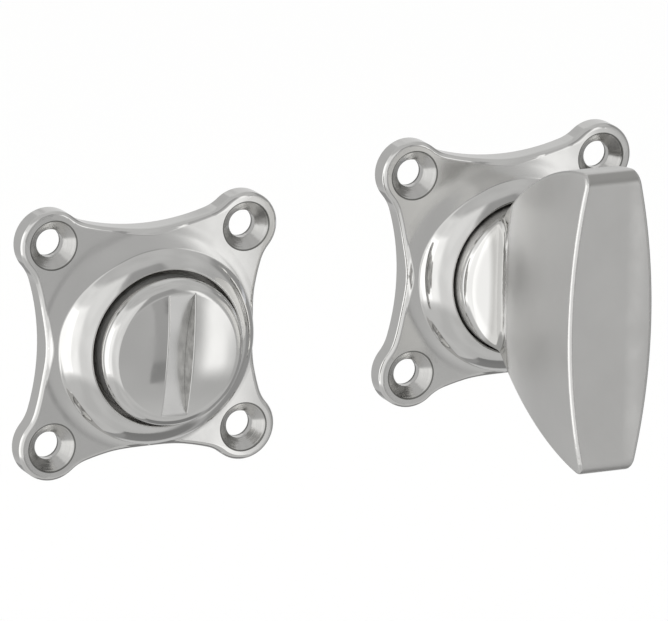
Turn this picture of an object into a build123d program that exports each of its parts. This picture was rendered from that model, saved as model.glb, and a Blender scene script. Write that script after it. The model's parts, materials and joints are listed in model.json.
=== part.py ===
from build123d import *
import os
from math import cos, hypot, radians, sin, sqrt

os.makedirs("parts", exist_ok=True)

# Bathroom thumb turn lock: the inside rose with its thumb turn and, beside it, the outside
# rose with its coin release. X is to the right, Z is up, and both fronts face -Y. The origin
# is on the axis of the thumb turn, in the plane of the backs of both roses. Heights are
# measured forward from that plane.

# Where the two halves lie
release_left = 63.8        # release axis, left of the turn axis
release_drop = 5.6         # and below it
release_lean = 3.5         # degrees that the coin slot leans to the right

# Rose: four ears joined by hollow sides, and a bell that rises to a round mouth
screw_pitch = 33.8         # across and up, between the screw holes
ear_radius = 5.6
ear_height = 3.4
waist_half = 18.25         # from the axis to the middle of a side
side_radius = 38.0         # of the hollow sides
neck_round = 7.0           # between a side and an ear
side_overlap = 3.5         # by which a side runs on under the round of an ear
edge_round = 0.8
foot_radius = 2.0          # hollow foot of the bell
shoulder_radius = 6.5      # round shoulder of the bell
bell_slope = 75.0          # degrees, where foot and shoulder meet
mouth_slope = 20.0         # degrees, at the mouth
mouth_radius = 12.95
mouth_height = 10.85
mouth_round = 0.25
screw_hole = 4.6
screw_head = 8.2
screw_angle = 90.0
recess_height = 7.0        # floor of the recess that the knob turns in
web_height = 4.0           # back of the web that carries the bush
pocket_radius = 11.0       # pocket in the back for the washers and the circlip

# Bush and shank
shank_radius = 5.45
shank_end = 0.5            # the shank stops short of the door
shank_chamfer = 0.4
running_gap = 0.05         # radial, between shank and bush
bush_wall = 1.5
bush_flange_radius = 9.0
bush_flange = 1.0
float_gap = 0.05           # end play on each side of the knob's bearing

# Washers and circlip on the shank
circlip_back = 1.0
circlip_thick = 1.0
circlip_radius = 7.6
circlip_mouth = 6.0
circlip_round = 0.6
groove_depth = 0.75
groove_gap = 0.05
thrust_thick = 0.8
thrust_radius = 8.6
spring_stock = 0.35
spring_radius = 8.3
spring_gap = 0.02
washer_gap = 0.15          # radial, between a washer and the shank

# Round bases and domes of the knobs
turn_rim_gap = 0.3         # round the base of the thumb turn
release_rim_gap = 0.7      # round the base of the coin release
rim_height = 12.5          # top of the straight rim, which stands out of the mouth
crown_height = 16.05
dome_round = 2.6           # between the rim and the shallow crown

# Grip of the thumb turn
grip_reach = 42.2          # height of the flat end face
grip_half = 25.2
grip_side_radius = 40.0    # of the bulging sides of the fan
grip_root = 11.0
grip_root_half = 8.3
grip_corner = 2.3          # between the end face and the sides
grip_thick_half = 7.5      # middle of the end face
grip_flank_radius = 110.0  # of the bulging flanks, seen from the front
grip_draft = 2.0           # degrees, by which each flank leans out towards the end face
grip_edge = 0.7
grip_blend = 2.0           # between dome and grip

# Coin slot, cut by a disc that dips into the dome
slot_width = 4.3
slot_floor = 13.0          # in the middle
slot_cutter = 26.0

# Spindle, pushed all the way into the deep socket of the thumb turn
spindle_side = 5.0
spindle_length = 60.0
spindle_chamfer = 0.6
spindle_slit = 1.0         # lets the end spring in its socket
spindle_slit_length = 16.0
socket_gap = 0.06          # on each side of the spindle
socket_space = 0.5         # between the spindle and the bottom of its socket
turn_socket_end = 27.5
release_socket_end = 12.0

ear_place = screw_pitch / 2
bush_bore = shank_radius + running_gap
bush_radius = bush_bore + bush_wall
base_height = recess_height + bush_flange + float_gap
groove_radius = shank_radius - groove_depth
washer_bore = shank_radius + washer_gap
thrust_back = circlip_back + circlip_thick + float_gap
spring_back = thrust_back + thrust_thick + spring_gap
spring_front = web_height - spring_gap
socket_side = spindle_side + 2 * socket_gap
flank_centre = grip_flank_radius - grip_thick_half
halves = {"turn": (0.0, 0.0), "release": (-release_left, -release_drop)}


def front_plane(half, height):
    """The plane across the axis of one half, at a height, facing forward."""
    x, z = halves[half]
    return Plane(origin=(x, -height, z), x_dir=(1, 0, 0), z_dir=(0, -1, 0))


def section_plane(half):
    """The plane through the axis of one half, with local X the radius and Y the height."""
    x, z = halves[half]
    return Plane(origin=(x, 0, z), x_dir=(1, 0, 0), z_dir=(0, 0, -1))


def side_plane(half):
    """The upright plane through the axis of one half, with local X up and Y the height."""
    x, z = halves[half]
    return Plane(origin=(x, 0, z), x_dir=(0, 0, 1), z_dir=(1, 0, 0))


def turning_axis(half):
    x, z = halves[half]
    return Axis((x, 0, z), (0, -1, 0))


def finish(piece, name):
    piece.part.label = name
    export_step(piece.part, f"parts/{name}.step")
    return piece.part


def rose_body_outline():
    """The four hollow sides, with a short line under each ear from one to the next."""
    end = ear_place - side_overlap
    reach = waist_half + side_radius - sqrt(side_radius**2 - end**2)
    for quarter in range(4):
        start, middle, finish_point, corner = (
            Vector(x, z).rotate(Axis.Z, 90 * quarter)
            for x, z in ((reach, -end), (waist_half, 0), (reach, end), (end, reach))
        )
        ThreePointArc(start, middle, finish_point)
        Line(finish_point, corner)


def bell_outline():
    """Half section of the front of a rose: mouth, round shoulder, hollow foot, flat ears."""
    low, high = radians(mouth_slope), radians(bell_slope)

    def on_shoulder(slope):
        return (
            mouth_radius + shoulder_radius * (sin(slope) - sin(low)),
            mouth_height - shoulder_radius * (cos(low) - cos(slope)),
        )

    def on_foot(slope, start):
        return (
            start - foot_radius * sin(slope),
            ear_height + foot_radius * (1 - cos(slope)),
        )

    join = on_shoulder(high)
    foot_top = on_foot(high, 0)[1]
    foot_inner = join[0] + (join[1] - foot_top) * cos(high) / sin(high)
    foot_start = foot_inner + foot_radius * sin(high)
    outside = hypot(ear_place, ear_place) + 2 * ear_radius
    Line((0, mouth_height), on_shoulder(low))
    ThreePointArc(on_shoulder(low), on_shoulder((low + high) / 2), join)
    Line(join, on_foot(high, foot_start))
    ThreePointArc(on_foot(high, foot_start), on_foot(high / 2, foot_start), on_foot(0, foot_start))
    Polyline((foot_start, ear_height), (outside, ear_height), (outside, 0), (0, 0), (0, mouth_height))


def make_rose(half):
    with BuildPart() as rose:
        with BuildSketch(front_plane(half, 0)) as outline:
            with BuildLine():
                rose_body_outline()
            make_face()
            with GridLocations(screw_pitch, screw_pitch, 2, 2):
                Circle(ear_radius)
            neck_limit = hypot(ear_place, ear_place) + ear_radius / 2
            necks = [v for v in outline.vertices() if hypot(v.X, v.Y) < neck_limit]
            fillet(necks, neck_round)
        extrude(amount=mouth_height)
        with BuildSketch(section_plane(half)):
            with BuildLine():
                bell_outline()
            make_face()
        revolve(axis=turning_axis(half), mode=Mode.INTERSECT)
        walls = rose.faces().filter_by(lambda face: abs(face.normal_at().Y) < 0.01)
        rim = [
            edge
            for edge in walls.edges()
            if max(vertex.Y for vertex in edge.vertices()) < -ear_height / 2
        ]
        fillet(rim, edge_round)
        with Locations(front_plane(half, ear_height)):
            with GridLocations(screw_pitch, screw_pitch, 2, 2):
                CounterSinkHole(screw_hole / 2, screw_head / 2, counter_sink_angle=screw_angle)
        with BuildSketch(front_plane(half, 0)):
            Circle(pocket_radius)
        extrude(amount=web_height, mode=Mode.SUBTRACT)
        with BuildSketch(front_plane(half, web_height)):
            Circle(bush_radius)
        extrude(amount=recess_height - web_height, mode=Mode.SUBTRACT)
        with BuildSketch(front_plane(half, recess_height)):
            Circle(mouth_radius)
        extrude(amount=mouth_height, mode=Mode.SUBTRACT)
        mouth = rose.edges().filter_by(GeomType.CIRCLE).filter_by(
            lambda edge: abs(edge.center().Y + mouth_height) < 0.01
        )
        fillet(mouth, mouth_round)
    return finish(rose, f"{half}_rose")


def make_bush(half):
    with BuildPart() as bush:
        with BuildSketch(front_plane(half, web_height)):
            Circle(bush_radius)
            Circle(bush_bore, mode=Mode.SUBTRACT)
        extrude(amount=recess_height - web_height)
        with BuildSketch(front_plane(half, recess_height)):
            Circle(bush_flange_radius)
            Circle(bush_bore, mode=Mode.SUBTRACT)
        extrude(amount=bush_flange)
    return finish(bush, f"{half}_bush")


def make_spring_washer(half):
    """A curved washer: a ring of sheet bent about the X axis, high in its middle."""
    rise = spring_front - spring_back - spring_stock
    with BuildPart() as washer:
        with BuildSketch(side_plane(half)):
            with BuildLine():
                top = ThreePointArc(
                    (-spring_radius, spring_back + spring_stock),
                    (0, spring_front),
                    (spring_radius, spring_back + spring_stock),
                )
                bottom = ThreePointArc(
                    (spring_radius, spring_back),
                    (0, spring_back + rise),
                    (-spring_radius, spring_back),
                )
                Line(top @ 1, bottom @ 0)
                Line(bottom @ 1, top @ 0)
            make_face()
        extrude(amount=spring_radius, both=True)
        with BuildSketch(front_plane(half, 0)):
            Circle(spring_radius)
            Circle(washer_bore, mode=Mode.SUBTRACT)
        extrude(amount=web_height, mode=Mode.INTERSECT)
    return finish(washer, f"{half}_spring_washer")


def make_thrust_washer(half):
    with BuildPart() as washer:
        with BuildSketch(front_plane(half, thrust_back)):
            Circle(thrust_radius)
            Circle(washer_bore, mode=Mode.SUBTRACT)
        extrude(amount=thrust_thick)
    return finish(washer, f"{half}_thrust_washer")


def make_circlip(half):
    with BuildPart() as circlip:
        with BuildSketch(front_plane(half, circlip_back)) as ring:
            Circle(circlip_radius)
            Circle(groove_radius + groove_gap, mode=Mode.SUBTRACT)
            with Locations((0, -circlip_radius)):
                Rectangle(circlip_mouth, 2 * circlip_radius, mode=Mode.SUBTRACT)
            tips = ring.vertices().filter_by(lambda tip: tip.Y < 0)
            fillet(tips, circlip_round)
        extrude(amount=circlip_thick)
    return finish(circlip, f"{half}_circlip")


def knob_outline(rim_radius):
    """Half section of a knob's shank, base and dome."""
    across = rim_radius - dome_round
    rise = crown_height - rim_height
    crown_radius = (across**2 + rise**2 - dome_round**2) / (2 * (rise - dome_round))
    crown_centre = crown_height - crown_radius
    reach = hypot(across, rim_height - crown_centre)
    slant, lift = across / reach, (rim_height - crown_centre) / reach
    join = (crown_radius * slant, crown_centre + crown_radius * lift)
    Polyline(
        (0, crown_height),
        (0, shank_end),
        (shank_radius - shank_chamfer, shank_end),
        (shank_radius, shank_end + shank_chamfer),
        (shank_radius, circlip_back - groove_gap),
        (groove_radius, circlip_back - groove_gap),
        (groove_radius, circlip_back + circlip_thick + groove_gap),
        (shank_radius, circlip_back + circlip_thick + groove_gap),
        (shank_radius, base_height),
        (rim_radius, base_height),
        (rim_radius, rim_height),
    )
    TangentArc((rim_radius, rim_height), join, tangent=(0, 1))
    TangentArc(join, (0, crown_height), tangent=(-lift, slant))


def make_thumb_turn():
    """A fan-shaped grip, thicker in the middle than at its two ends, on a domed base."""
    with BuildPart() as knob:
        with BuildSketch(front_plane("turn", grip_reach)):
            with Locations((flank_centre, 0)):
                Circle(grip_flank_radius)
            with Locations((-flank_centre, 0)):
                Circle(grip_flank_radius, mode=Mode.INTERSECT)
        extrude(amount=grip_reach - grip_root, dir=(0, 1, 0), taper=grip_draft)
        with BuildSketch(side_plane("turn")) as fan:
            with BuildLine():
                face = Line((-grip_half, grip_reach), (grip_half, grip_reach))
                upper = RadiusArc(face @ 1, (grip_root_half, grip_root), grip_side_radius)
                lower = RadiusArc((-grip_root_half, grip_root), face @ 0, grip_side_radius)
                Line(upper @ 1, lower @ 0)
            make_face()
            fillet(fan.vertices().group_by(Axis.Y)[-1], grip_corner)
        extrude(amount=2 * grip_thick_half, both=True, mode=Mode.INTERSECT)
        fillet(knob.edges().filter_by(lambda edge: -edge.center().Y > grip_root), grip_edge)
        with BuildSketch(section_plane("turn")):
            with BuildLine():
                knob_outline(mouth_radius - turn_rim_gap)
            make_face()
        revolve(axis=turning_axis("turn"))
        joint = knob.edges().filter_by(GeomType.BSPLINE).filter_by(
            lambda edge: all(rim_height < -(edge @ share).Y < crown_height for share in (0, 0.5, 1))
        )
        fillet(joint, grip_blend)
        with BuildSketch(front_plane("turn", shank_end)):
            Rectangle(socket_side, socket_side)
        extrude(amount=turn_socket_end - shank_end, mode=Mode.SUBTRACT)
    return finish(knob, "thumb_turn")


def make_release_knob():
    """A domed base with a coin slot across it, deepest in the middle."""
    with BuildPart() as knob:
        with BuildSketch(section_plane("release")):
            with BuildLine():
                knob_outline(mouth_radius - release_rim_gap)
            make_face()
        revolve(axis=turning_axis("release"))
        with BuildSketch(side_plane("release").rotated((0, release_lean, 0))):
            with Locations((0, slot_floor + slot_cutter)):
                Circle(slot_cutter)
        extrude(amount=slot_width / 2, both=True, mode=Mode.SUBTRACT)
        with BuildSketch(front_plane("release", shank_end)):
            Rectangle(socket_side, socket_side, rotation=-release_lean)
        extrude(amount=release_socket_end - shank_end, mode=Mode.SUBTRACT)
    return finish(knob, "release_knob")


def make_spindle():
    """A square bar, slit at the end that springs in the socket of the thumb turn."""
    inner_end = turn_socket_end - socket_space
    with BuildPart() as spindle:
        with BuildSketch(front_plane("turn", inner_end - spindle_length)):
            Rectangle(spindle_side, spindle_side)
        extrude(amount=spindle_length)
        chamfer(spindle.faces().filter_by(Axis.Y).edges(), spindle_chamfer)
        with BuildSketch(front_plane("turn", inner_end - spindle_slit_length)):
            Rectangle(spindle_slit, 2 * spindle_side)
        extrude(amount=spindle_slit_length, mode=Mode.SUBTRACT)
    return finish(spindle, "spindle")


for half in halves:
    make_rose(half)
    make_bush(half)
    make_spring_washer(half)
    make_thrust_washer(half)
    make_circlip(half)
make_thumb_turn()
make_release_knob()
make_spindle()
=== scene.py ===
import json
from math import cos, pi, radians, sin

import bmesh
import bpy
from mathutils import Matrix, Vector

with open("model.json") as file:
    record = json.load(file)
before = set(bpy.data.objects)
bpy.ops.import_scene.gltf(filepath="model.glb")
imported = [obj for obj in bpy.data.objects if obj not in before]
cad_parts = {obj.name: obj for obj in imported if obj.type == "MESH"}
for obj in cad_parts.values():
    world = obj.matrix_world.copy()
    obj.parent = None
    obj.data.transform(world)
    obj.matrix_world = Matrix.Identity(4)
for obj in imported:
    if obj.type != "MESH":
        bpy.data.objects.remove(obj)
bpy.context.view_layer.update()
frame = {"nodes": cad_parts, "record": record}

# The photo was taken from the left and a little above, with a long lens.
AZIMUTH = 25.0
ELEVATION = 15.5
ROLL = 1.0
DISTANCE = 1.5
PIXELS_PER_METRE = 6081.0
IMAGE_WIDTH, IMAGE_HEIGHT = 668, 621
TURN_CENTRE = (497.0, 260.9)
SENSOR = 36.0
CLIP_START, CLIP_END = 0.1, 20.0

MM = 0.001
NODES = frame["nodes"]
MOUNTS = {mount["name"]: mount for mount in frame["record"]["mounts"]}
TURN_AXIS = MOUNTS["turn_screws"]["pos_m"]
RELEASE_AXIS = MOUNTS["release_screws"]["pos_m"]
SCREW_DIMS = MOUNTS["turn_screws"]["dims"]
HOLE_PLACE = SCREW_DIMS["spacing_x_mm"] * MM / 2
HOLE_RADIUS = SCREW_DIMS["hole_r_mm"] * MM

# Sizes of the solids that the patterns follow. Heights are measured forward from the door.
HEAD_RADIUS = 4.1 * MM
EAR_HEIGHT = 3.4 * MM
EDGE_ROUND = 0.8 * MM
WAIST_HALF = 18.25 * MM
SIDE_RADIUS = 38 * MM
MOUTH_RADIUS = 12.95 * MM
RIM_HEIGHT = 12.5 * MM
SLOT_HALF = 2.15 * MM
SLOT_LEAN = radians(3.5)

# Heights of the finish alone. The foot of the bell is shaded as level up to the first, and to the
# second above the bell. The finish of the grip starts a little above the crown of the dome.
FOOT_TOP_LOW, FOOT_TOP_HIGH = 6.3 * MM, 8.6 * MM
GRIP_START = 16.5 * MM

# How far the shading is turned, from 0 to 1, and the way that it is turned on the dome.
FOOT_SHARE = 0.78
GROUND_SHARE = 0.88
ROOT_SHARE = 0.36
GROUND_X, GROUND_Y = 0.86, -0.51

POLISHED = 0.07
NICKEL = (0.72, 0.715, 0.70)
DARKER_NICKEL = (0.60, 0.595, 0.58)
SHADED_NICKEL = (0.46, 0.455, 0.44)
# Painted shade at the top corner of the grip and in the corner at its root.
BORE_NICKEL = (0.42, 0.41, 0.39)
# Painted shade on the rims of the countersinks and at the back of the screw holes.
PAINTED_SHADE = (0.20, 0.20, 0.19)
# Painted highlight on the floor of the coin slot, and painted shade on its walls.
SLOT_FLOOR_HIGHLIGHT = (0.92, 0.915, 0.90)
SLOT_WALL_SHADE = (0.12, 0.118, 0.11)
SATIN_DARK = (0.66, 0.655, 0.64)
SATIN_LIGHT = (0.69, 0.685, 0.67)
# Painted light on the sides of the grip and towards its root.
SATIN_SIDE_LIGHT = (0.80, 0.795, 0.78)
SATIN_ROOT_LIGHT = (0.86, 0.855, 0.84)
BRASS = (0.80, 0.66, 0.40)
SPRING_STEEL = (0.42, 0.42, 0.43)
BLACK_STEEL = (0.12, 0.12, 0.13)
ZINC = (0.62, 0.63, 0.66)

FLOOR_HEIGHT = -0.12
FLOOR_REACH = 3.0
FLOOR_COLOUR = (0.975, 0.975, 0.972)
LAMP_PLACE = Vector((-0.5, -0.7, 1.2))
LAMP_SIZE = 0.5
LAMP_WATTS = 1.2

TENT_RADIUS = 6.0
TENT_GREY = 0.53
FOLD_SIZE = 2.4
# Cards of the tent: azimuth from the front and rising to the right, elevation, softness of the
# two pairs of edges, all in degrees, and brightness, where 1 is the white of the background.
# A card covers those before it.
CARDS = {
    "low": ((-180, 180), (-90, -32), (1, 8), 0.62),
    "low_right": ((60, 180), (-90, -52), (20, 8), 0.25),
    "high": ((-180, 180), (30, 90), (1, 12), 0.60),
    "back_right": ((138, 180), (-12, 75), (10, 10), 0.70),
    "back_dark": ((166, 180), (-80, 24), (8, 10), 0.34),
    "right_wall": ((84, 136), (-50, 30), (10, 10), 0.34),
    "left_wall": ((-125, -12), (-34, 46), (6, 10), 0.90),
    "bright_wall": ((-123, -60), (-31, 26), (14, 6), 1.20),
    "softbox": ((-121, -84), (-30, 22), (3, 3), 1.45),
    "right_card": ((32.5, 43.5), (-22, 26), (8, 7), 1.24),
    "high_dark": ((-8, 26), (16, 46), (8, 8), 0.38),
    "dark_box": ((12.5, 20.5), (-24, 4), (0.8, 0.8), 0.42),
    "dark_foot": ((12.5, 20.5), (-24, -17), (0.8, 1.5), 0.30),
    "dark_corner": ((17, 20.5), (0, 4), (0.8, 0.8), 0.20),
}


class Graph:
    """A node tree with short helpers, so that a pattern reads like a formula."""

    def __init__(self, tree):
        self.tree = tree

    def put(self, value, socket):
        if isinstance(value, bpy.types.NodeSocket):
            self.tree.links.new(value, socket)
        else:
            socket.default_value = value

    def math(self, operation, *values):
        node = self.tree.nodes.new("ShaderNodeMath")
        node.operation = operation
        for value, socket in zip(values, node.inputs):
            self.put(value, socket)
        return node.outputs[0]

    def total(self, first, *others):
        for value in others:
            first = self.math("ADD", first, value)
        return first

    def product(self, first, *others):
        for value in others:
            first = self.math("MULTIPLY", first, value)
        return first

    def minus(self, first, second):
        return self.math("SUBTRACT", first, second)

    def absolute(self, value):
        return self.math("ABSOLUTE", value)

    def distance(self, first, second):
        """Length of the line whose two legs are given."""
        squares = self.total(self.math("POWER", first, 2.0), self.math("POWER", second, 2.0))
        return self.math("SQRT", squares)

    def coordinates(self):
        """Place in the row's frame, in metres. It rides with the piece."""
        node = self.tree.nodes.new("ShaderNodeTexCoord")
        return node.outputs["Object"]

    def surface_normal(self):
        node = self.tree.nodes.new("ShaderNodeNewGeometry")
        return node.outputs["Normal"]

    def carried(self, direction, start, end):
        """A direction carried from one space, WORLD or OBJECT, into the other."""
        node = self.tree.nodes.new("ShaderNodeVectorTransform")
        node.vector_type = "NORMAL"
        node.convert_from, node.convert_to = start, end
        self.put(direction, node.inputs[0])
        return node.outputs[0]

    def facing(self):
        """The surface's own direction in the row's frame, so that it rides with the piece."""
        return self.carried(self.surface_normal(), "WORLD", "OBJECT")

    def split(self, vector):
        node = self.tree.nodes.new("ShaderNodeSeparateXYZ")
        self.tree.links.new(vector, node.inputs[0])
        return node.outputs

    def join(self, x, y, z):
        node = self.tree.nodes.new("ShaderNodeCombineXYZ")
        for value, socket in zip((x, y, z), node.inputs):
            self.put(value, socket)
        return node.outputs[0]

    def ramp(self, value, start, end, low=0.0, high=1.0):
        """Goes smoothly from low at start to high at end. Start may be above end."""
        node = self.tree.nodes.new("ShaderNodeMapRange")
        node.interpolation_type = "SMOOTHSTEP"
        for name, number in (("From Min", start), ("From Max", end), ("To Min", low), ("To Max", high)):
            node.inputs[name].default_value = number
        self.put(value, node.inputs["Value"])
        return node.outputs[0]

    def noise(self, vector, size, detail=2.0, roughness=0.5):
        """Noise whose features are about size metres across, from 0 to 1."""
        node = self.tree.nodes.new("ShaderNodeTexNoise")
        self.tree.links.new(vector, node.inputs["Vector"])
        node.inputs["Scale"].default_value = 1 / size
        node.inputs["Detail"].default_value = detail
        node.inputs["Roughness"].default_value = roughness
        return node.outputs["Fac"]

    def mix(self, kind, share, first, second):
        """The first where share is 0, the second where it is 1. The kind is RGBA or VECTOR."""
        node = self.tree.nodes.new("ShaderNodeMix")
        node.data_type = kind
        self.put(share, node.inputs["Factor"])
        sockets = [socket for socket in node.inputs if socket.type == kind and socket.name in ("A", "B")]
        for value, socket in zip((first, second), sockets):
            self.put(value, socket)
        return next(socket for socket in node.outputs if socket.type == kind)

    def blend(self, share, first, second):
        """A mix of two colours, each a socket or a tuple of three numbers."""
        colours = ((*colour, 1) if isinstance(colour, tuple) else colour for colour in (first, second))
        return self.mix("RGBA", share, *colours)

    def bump(self, height, normal=None, share=1.0):
        """Tilts the surface as if it were raised by height, in metres."""
        node = self.tree.nodes.new("ShaderNodeBump")
        node.inputs["Distance"].default_value = 1.0
        self.put(share, node.inputs["Strength"])
        self.put(height, node.inputs["Height"])
        if normal is not None:
            self.put(normal, node.inputs["Normal"])
        return node.outputs[0]

    def turned_to(self, direction, share):
        """The surface's direction, turned to the given one of the row's frame where share is 1."""
        target = self.carried(direction, "OBJECT", "WORLD")
        mixed = self.mix("VECTOR", share, self.surface_normal(), target)
        unit = self.tree.nodes.new("ShaderNodeVectorMath")
        unit.operation = "NORMALIZE"
        self.tree.links.new(mixed, unit.inputs[0])
        return unit.outputs[0]


def new_metal(name, colour, roughness):
    material = bpy.data.materials.new(name)
    material.use_nodes = True
    shader = material.node_tree.nodes["Principled BSDF"]
    shader.inputs["Base Color"].default_value = (*colour, 1)
    shader.inputs["Roughness"].default_value = roughness
    shader.inputs["Metallic"].default_value = 1.0
    return material, Graph(material.node_tree), shader


def polish_height(graph, place):
    """The faint waves that hand polishing leaves in a casting."""
    wide = graph.product(graph.noise(place, 9 * MM, 1.0), 0.055 * MM)
    fine = graph.product(graph.noise(place, 2.2 * MM, 2.0), 0.0022 * MM)
    return graph.total(wide, fine)


def polish_haze(graph, place, low):
    """Roughness of polished plating, which is hazy in patches."""
    return graph.ramp(graph.noise(place, 5 * MM, 4.0, 0.6), 0.35, 0.7, low, 0.11)


def worn_away(graph, reach, power, rate):
    """Height lost where reach is above 0. It grows with the given power of reach."""
    lost = graph.math("POWER", graph.math("MAXIMUM", reach, 0.0), power)
    return graph.product(lost, -rate)


def foot_of_bell(graph, height, upright, away_x, away_z, from_axis):
    """1 on the hollow foot of the bell, between its mouth and the edge round of the sides."""
    foot_top = graph.ramp(graph.math("DIVIDE", upright, from_axis), 0.1, 1.0, FOOT_TOP_LOW, FOOT_TOP_HIGH)
    below_top = graph.ramp(graph.minus(height, foot_top), 0.25 * MM, -0.35 * MM)
    on_front = graph.ramp(height, EAR_HEIGHT - 0.1 * MM, EAR_HEIGHT - 0.02 * MM)
    furthest = graph.math("MAXIMUM", away_x, away_z)
    nearest = graph.math("MINIMUM", away_x, away_z)
    from_side = graph.distance(graph.minus(furthest, WAIST_HALF + SIDE_RADIUS), nearest)
    edge = SIDE_RADIUS + EDGE_ROUND
    inside = graph.ramp(from_side, edge - 0.1 * MM, edge + 0.1 * MM)
    outside = graph.ramp(from_axis, MOUTH_RADIUS + 0.5 * MM, MOUTH_RADIUS + 0.6 * MM)
    return graph.product(below_top, on_front, inside, outside)


def rose_nickel(name, axis):
    """Polished plate, rounded by the buffing wheel to the right, with turned countersinks."""
    material, graph, shader = new_metal(name, NICKEL, POLISHED)
    place = graph.coordinates()
    x, y, z = graph.split(place)
    height = graph.product(y, -1.0)
    across, upright = graph.minus(x, axis[0]), graph.minus(z, axis[2])
    away_x, away_z = graph.absolute(across), graph.absolute(upright)
    from_axis = graph.distance(across, upright)

    from_hole = graph.distance(graph.minus(away_x, HOLE_PLACE), graph.minus(away_z, HOLE_PLACE))
    in_front = graph.ramp(height, 1.2 * MM, 1.5 * MM)
    in_head = graph.ramp(from_hole, HEAD_RADIUS + 0.05 * MM, HEAD_RADIUS - 0.05 * MM)
    in_head = graph.product(in_head, in_front)
    cut = graph.noise(graph.join(graph.product(from_hole, 3.0), 0.0, 0.0), 1 * MM, 3.0, 0.7)
    rings = graph.product(cut, in_head, 0.035 * MM)

    # The foot of the bell is shaded as almost level, and the right halves of the flats as rounded.
    on_foot = foot_of_bell(graph, height, upright, away_x, away_z, from_axis)
    level = graph.turned_to((0, -1, 0), graph.product(on_foot, FOOT_SHARE))
    on_flat = graph.product(
        graph.ramp(from_axis, 17.6 * MM, 19.4 * MM),
        graph.minus(1.0, in_head),
        graph.ramp(height, 2.4 * MM, 3.0 * MM),
    )
    wheel = graph.bump(worn_away(graph, across, 1.7, 1.59), level, on_flat)
    relief = graph.total(polish_height(graph, place), rings)
    graph.put(graph.bump(relief, wheel), shader.inputs["Normal"])

    in_bore = graph.ramp(from_axis, MOUTH_RADIUS + 0.15 * MM, MOUTH_RADIUS)
    rough = graph.total(
        polish_haze(graph, place, 0.05),
        graph.product(in_head, 0.07),
        graph.product(in_bore, 0.30),
        graph.product(on_foot, 0.10),
    )
    graph.put(rough, shader.inputs["Roughness"])

    # The countersinks are darker, and their rims and the back of the holes carry painted shade.
    from_rim = graph.absolute(graph.minus(from_hole, HEAD_RADIUS - 0.05 * MM))
    at_rim = graph.product(graph.ramp(from_rim, 0.16 * MM, 0.06 * MM), in_front)
    in_hole = graph.ramp(from_hole, HOLE_RADIUS + 0.15 * MM, HOLE_RADIUS + 0.05 * MM)
    at_back = graph.product(in_hole, graph.ramp(height, 0.6 * MM, 0.3 * MM))
    colour = graph.blend(in_head, NICKEL, DARKER_NICKEL)
    colour = graph.blend(graph.math("MAXIMUM", at_rim, at_back), colour, PAINTED_SHADE)
    colour = graph.blend(in_bore, colour, BORE_NICKEL)
    graph.put(colour, shader.inputs["Base Color"])
    graph.put(graph.ramp(in_bore, 0.0, 1.0, 1.0, 0.7), shader.inputs["Metallic"])
    return material


def release_nickel():
    """Polished crown. The coin slot has a painted highlight on its floor and painted shade on its walls.
    """
    material, graph, shader = new_metal("release_nickel", NICKEL, POLISHED)
    place = graph.coordinates()
    x, y, z = graph.split(place)
    height = graph.product(y, -1.0)
    upright = graph.minus(z, RELEASE_AXIS[2])
    across = graph.product(graph.minus(x, RELEASE_AXIS[0]), cos(SLOT_LEAN))
    across = graph.minus(across, graph.product(upright, sin(SLOT_LEAN)))
    from_slot = graph.minus(graph.absolute(across), SLOT_HALF)
    in_reach = graph.ramp(graph.absolute(upright), 10.2 * MM, 9.6 * MM)

    # Polishing has rolled the lips of the slot over.
    beside_slot = graph.ramp(from_slot, -0.01 * MM, 0.01 * MM)
    lip = worn_away(graph, graph.minus(0.35 * MM, from_slot), 2.0, 900.0)
    lip = graph.product(lip, in_reach, beside_slot)
    graph.put(graph.bump(graph.total(polish_height(graph, place), lip)), shader.inputs["Normal"])

    # Painted highlight on the floor of the coin slot, and painted shade on its walls that varies with a
    # noise.
    sideways = graph.absolute(graph.split(graph.facing())[0])
    on_wall = graph.ramp(sideways, 0.5, 0.7)
    above_rim = graph.ramp(height, RIM_HEIGHT + 0.1 * MM, RIM_HEIGHT + 0.4 * MM)
    in_slot = graph.product(graph.ramp(from_slot, 0.05 * MM, -0.02 * MM), in_reach, above_rim)
    grain = graph.noise(graph.join(graph.product(x, 4.0), y, z), 1.5 * MM, 3.0)
    shade = graph.product(on_wall, in_slot, graph.ramp(grain, 0.3, 0.7, 0.75, 1.0))
    colour = graph.blend(in_slot, NICKEL, SLOT_FLOOR_HIGHLIGHT)
    graph.put(graph.blend(shade, colour, SLOT_WALL_SHADE), shader.inputs["Base Color"])

    below_rim = graph.ramp(height, RIM_HEIGHT, RIM_HEIGHT - 0.3 * MM)
    graph.put(graph.ramp(below_rim, 0.0, 1.0, 1.0, 0.85), shader.inputs["Metallic"])
    rough = graph.total(polish_haze(graph, place, 0.05), graph.product(in_slot, 0.16))
    graph.put(rough, shader.inputs["Roughness"])
    return material


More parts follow.
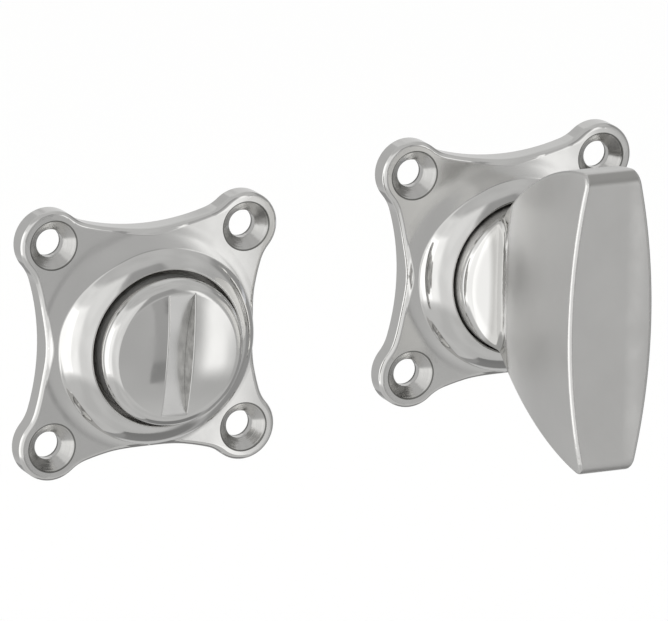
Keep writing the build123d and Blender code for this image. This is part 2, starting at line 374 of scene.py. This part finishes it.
def turn_nickel():
    """Polished dome; the grip is satin, with its edges polished bright."""
    material, graph, shader = new_metal("turn_nickel", NICKEL, POLISHED)
    place = graph.coordinates()
    x, y, z = graph.split(place)
    height = graph.product(y, -1.0)
    sideways, forward, upward = (graph.absolute(part) for part in graph.split(graph.facing()))
    on_grip = graph.ramp(height, GRIP_START - 0.8 * MM, GRIP_START + 1.6 * MM)
    edge = graph.ramp(graph.math("MINIMUM", sideways, forward), 0.18, 0.34)
    edge = graph.product(edge, graph.ramp(height, 30 * MM, 34 * MM))
    satin = graph.product(on_grip, graph.minus(1.0, edge))

    # Beside the grip, the dome is ground off towards its rim, and the root of the grip follows it.
    on_dome = graph.product(
        graph.ramp(height, RIM_HEIGHT + 0.4 * MM, RIM_HEIGHT + 1.9 * MM),
        graph.ramp(height, GRIP_START + 0.1 * MM, GRIP_START - 0.2 * MM),
        graph.ramp(sideways, 0.88, 0.50),
    )
    at_root = graph.product(
        graph.ramp(height, 23 * MM, GRIP_START),
        graph.ramp(height, GRIP_START - 0.2 * MM, GRIP_START + 0.1 * MM),
    )
    ground = graph.product(on_dome, GROUND_SHARE)
    ground = graph.math("MAXIMUM", ground, graph.product(at_root, ROOT_SHARE))
    side = graph.product(graph.math("SIGN", x), GROUND_X)
    dome = graph.turned_to(graph.join(side, GROUND_Y, 0.0), ground)

    # The end face of the grip is rounded off to the right.
    on_face = graph.product(graph.ramp(forward, 0.9, 0.97), on_grip)
    face = graph.bump(worn_away(graph, graph.minus(x, 2.4 * MM), 2.0, 26.0), dome, on_face)
    grain = graph.product(graph.noise(place, 0.16 * MM, 3.0, 0.7), satin, 0.004 * MM)
    graph.put(graph.bump(graph.total(polish_height(graph, place), grain), face), shader.inputs["Normal"])

    patches = graph.ramp(graph.noise(place, 7 * MM, 4.0, 0.6), 0.3, 0.7, 0.34, 0.44)
    haze = polish_haze(graph, place, 0.06)
    rough = graph.total(
        haze,
        graph.product(satin, graph.minus(patches, haze)),
        graph.ramp(height, RIM_HEIGHT, RIM_HEIGHT - 0.4 * MM, 0.0, 0.34),
    )
    graph.put(rough, shader.inputs["Roughness"])

    # The satin has painted light on the sides and towards the root, and painted shade at the top corner.
    tone = graph.ramp(graph.noise(place, 12 * MM, 3.0), 0.3, 0.7)
    lit_side = graph.ramp(graph.math("MAXIMUM", sideways, upward), 0.75, 0.95, 0.0, 0.5)
    top_corner_shade = graph.product(
        graph.ramp(graph.math("MINIMUM", upward, forward), 0.15, 0.45),
        graph.ramp(height, 36 * MM, 39 * MM),
        graph.ramp(z, 0.0, 5 * MM),
    )
    colour = graph.blend(tone, SATIN_DARK, SATIN_LIGHT)
    colour = graph.blend(lit_side, colour, SATIN_SIDE_LIGHT)
    colour = graph.blend(top_corner_shade, colour, SHADED_NICKEL)
    colour = graph.blend(graph.ramp(height, 29 * MM, 17 * MM), colour, SATIN_ROOT_LIGHT)
    # Painted shade in the corner where the grip rises from the dome.
    root_corner_shade = graph.product(
        graph.ramp(graph.absolute(x), 9.1 * MM, 7.9 * MM),
        graph.ramp(height, GRIP_START + 0.7 * MM, GRIP_START - 0.3 * MM),
    )
    dome_colour = graph.blend(root_corner_shade, NICKEL, SHADED_NICKEL)
    graph.put(graph.blend(satin, dome_colour, colour), shader.inputs["Base Color"])
    return material


def add_tarnish(graph, shader, place, size, colour, low, high, tarnish):
    """Duller, rougher spots about size metres across."""
    spots = graph.noise(place, size, 5.0, 0.65)
    graph.put(graph.ramp(spots, 0.35, 0.7, low, high), shader.inputs["Roughness"])
    dull = tuple(channel * tarnish for channel in colour)
    graph.put(graph.blend(graph.ramp(spots, 0.45, 0.75), colour, dull), shader.inputs["Base Color"])


def turned_metal(name, colour, axis, low, high, tarnish):
    """Faced in a lathe: fine rings round the axis, and a little tarnish."""
    material, graph, shader = new_metal(name, colour, low)
    place = graph.coordinates()
    x, y, z = graph.split(place)
    from_axis = graph.distance(graph.minus(x, axis[0]), graph.minus(z, axis[2]))
    rings = graph.noise(graph.join(from_axis, y, 0.0), 0.18 * MM, 3.0, 0.7)
    graph.put(graph.bump(graph.product(rings, 0.010 * MM)), shader.inputs["Normal"])
    add_tarnish(graph, shader, place, 2.5 * MM, colour, low, high, tarnish)
    return material


def drawn_metal(name, colour, low, high, tarnish):
    """Drawn or rolled: fine lines from front to back, and a little tarnish."""
    material, graph, shader = new_metal(name, colour, low)
    place = graph.coordinates()
    x, y, z = graph.split(place)
    lines = graph.noise(graph.join(x, graph.product(y, 0.04), z), 0.22 * MM, 3.0, 0.7)
    graph.put(graph.bump(graph.product(lines, 0.012 * MM)), shader.inputs["Normal"])
    add_tarnish(graph, shader, place, 3 * MM, colour, low, high, tarnish)
    return material


def dress(node, material):
    mesh = NODES[node].data
    mesh.materials.clear()
    mesh.materials.append(material)


def add_object(name, data):
    item = bpy.data.objects.new(name, data)
    bpy.context.scene.collection.objects.link(item)
    return item


def add_camera():
    azimuth, elevation, roll = radians(AZIMUTH), radians(ELEVATION), radians(ROLL)
    back = Vector((-sin(azimuth) * cos(elevation), -cos(azimuth) * cos(elevation), sin(elevation)))
    level = (-back).cross(Vector((0, 0, 1))).normalized()
    upright = level.cross(-back)
    right = cos(roll) * level + sin(roll) * upright
    up = cos(roll) * upright - sin(roll) * level
    across = (TURN_CENTRE[0] - IMAGE_WIDTH / 2) / PIXELS_PER_METRE
    above = (IMAGE_HEIGHT / 2 - TURN_CENTRE[1]) / PIXELS_PER_METRE
    place = DISTANCE * back - across * right - above * up
    data = bpy.data.cameras.new("photo_camera")
    data.sensor_width = SENSOR
    data.lens = SENSOR * PIXELS_PER_METRE * DISTANCE / IMAGE_WIDTH
    data.clip_start, data.clip_end = CLIP_START, CLIP_END
    camera = add_object("photo_camera", data)
    turn = Matrix((right, up, back)).transposed().to_4x4()
    camera.matrix_world = Matrix.Translation(place) @ turn
    bpy.context.scene.camera = camera


def add_world():
    """An even white surround: it is the background, and it lights the floor at a plain level."""
    world = bpy.data.worlds.new("studio")
    world.use_nodes = True
    background = world.node_tree.nodes["Background"]
    background.inputs["Color"].default_value = (1.0, 1.0, 1.0, 1)
    background.inputs["Strength"].default_value = 1.0
    bpy.context.scene.world = world


def add_floor():
    """A plain pale floor, which isn't reflected in the metal."""
    mesh = bpy.data.meshes.new("floor")
    corners = [(x * FLOOR_REACH, y * FLOOR_REACH, 0) for x, y in ((-1, -1), (1, -1), (1, 1), (-1, 1))]
    mesh.from_pydata(corners, [], [(0, 1, 2, 3)])
    floor = add_object("floor", mesh)
    floor.location.z = FLOOR_HEIGHT
    floor.visible_glossy = False
    material = bpy.data.materials.new("white_floor")
    material.use_nodes = True
    shader = material.node_tree.nodes["Principled BSDF"]
    shader.inputs["Base Color"].default_value = (*FLOOR_COLOUR, 1)
    shader.inputs["Roughness"].default_value = 0.9
    shader.inputs["Specular IOR Level"].default_value = 0.0
    mesh.materials.append(material)


def card_share(graph, angles, ranges, softness):
    """1 on a card and 0 off it. A side that lies at the end of its angle's range has no edge."""
    edges = []
    for angle, limit, (start, end), soft in zip(angles, (180, 90), ranges, softness):
        if start > -limit:
            edges.append(graph.ramp(angle, start - soft / 2, start + soft / 2))
        if end < limit:
            edges.append(graph.ramp(angle, end + soft / 2, end - soft / 2))
    return graph.product(*edges)


def tent_cloth():
    """Glowing cloth in shades of grey, with faint folds."""
    material = bpy.data.materials.new("tent_cloth")
    material.use_nodes = True
    graph = Graph(material.node_tree)
    graph.tree.nodes.clear()
    place = graph.coordinates()
    x, y, z = graph.split(place)
    azimuth = graph.product(graph.math("ARCTAN2", x, graph.product(y, -1.0)), 180 / pi)
    elevation = graph.product(graph.math("ARCTAN2", z, graph.distance(x, y)), 180 / pi)
    brightness = TENT_GREY
    for across, upright, softness, value in CARDS.values():
        share = card_share(graph, (azimuth, elevation), (across, upright), softness)
        step = graph.product(share, graph.minus(value, brightness))
        brightness = graph.total(brightness, step)
    folds = graph.ramp(graph.noise(place, FOLD_SIZE, 1.0), 0.3, 0.7, 0.95, 1.05)
    glow = graph.tree.nodes.new("ShaderNodeEmission")
    graph.put(graph.product(brightness, folds), glow.inputs["Strength"])
    output = graph.tree.nodes.new("ShaderNodeOutputMaterial")
    graph.tree.links.new(glow.outputs[0], output.inputs["Surface"])
    return material


def add_tent():
    """A grey tent with a bright softbox and cards. Only what is reflected in the metal shows it."""
    mesh = bpy.data.meshes.new("tent")
    shell = bmesh.new()
    bmesh.ops.create_uvsphere(shell, u_segments=64, v_segments=48, radius=TENT_RADIUS)
    shell.to_mesh(mesh)
    shell.free()
    mesh.materials.append(tent_cloth())
    tent = add_object("tent", mesh)
    tent.visible_camera = False
    tent.visible_diffuse = False
    tent.visible_shadow = False


def add_lamp():
    """A soft lamp above and in front, for the object's shadow on the floor."""
    data = bpy.data.lights.new("soft_lamp", "AREA")
    data.shape = "DISK"
    data.size = LAMP_SIZE
    data.energy = LAMP_WATTS
    lamp = add_object("soft_lamp", data)
    aim = LAMP_PLACE.to_track_quat("Z", "Y").to_matrix().to_4x4()
    lamp.matrix_world = Matrix.Translation(LAMP_PLACE) @ aim
    lamp.visible_glossy = False


for half, axis in (("turn", TURN_AXIS), ("release", RELEASE_AXIS)):
    dress(f"{half}_rose", rose_nickel(f"{half}_rose_nickel", axis))
    dress(f"{half}_bush", turned_metal(f"{half}_brass", BRASS, axis, 0.22, 0.36, 0.75))
    dress(f"{half}_spring_washer", drawn_metal(f"{half}_spring_steel", SPRING_STEEL, 0.24, 0.40, 0.75))
    dress(f"{half}_thrust_washer", turned_metal(f"{half}_zinc", ZINC, axis, 0.28, 0.42, 0.82))
    dress(f"{half}_circlip", drawn_metal(f"{half}_black_steel", BLACK_STEEL, 0.50, 0.68, 0.70))
dress("thumb_turn", turn_nickel())
dress("release_knob", release_nickel())
dress("spindle", drawn_metal("spindle_zinc", ZINC, 0.26, 0.42, 0.80))
add_camera()
add_world()
add_floor()
add_tent()
add_lamp()
bpy.context.scene.view_settings.view_transform = "Standard"
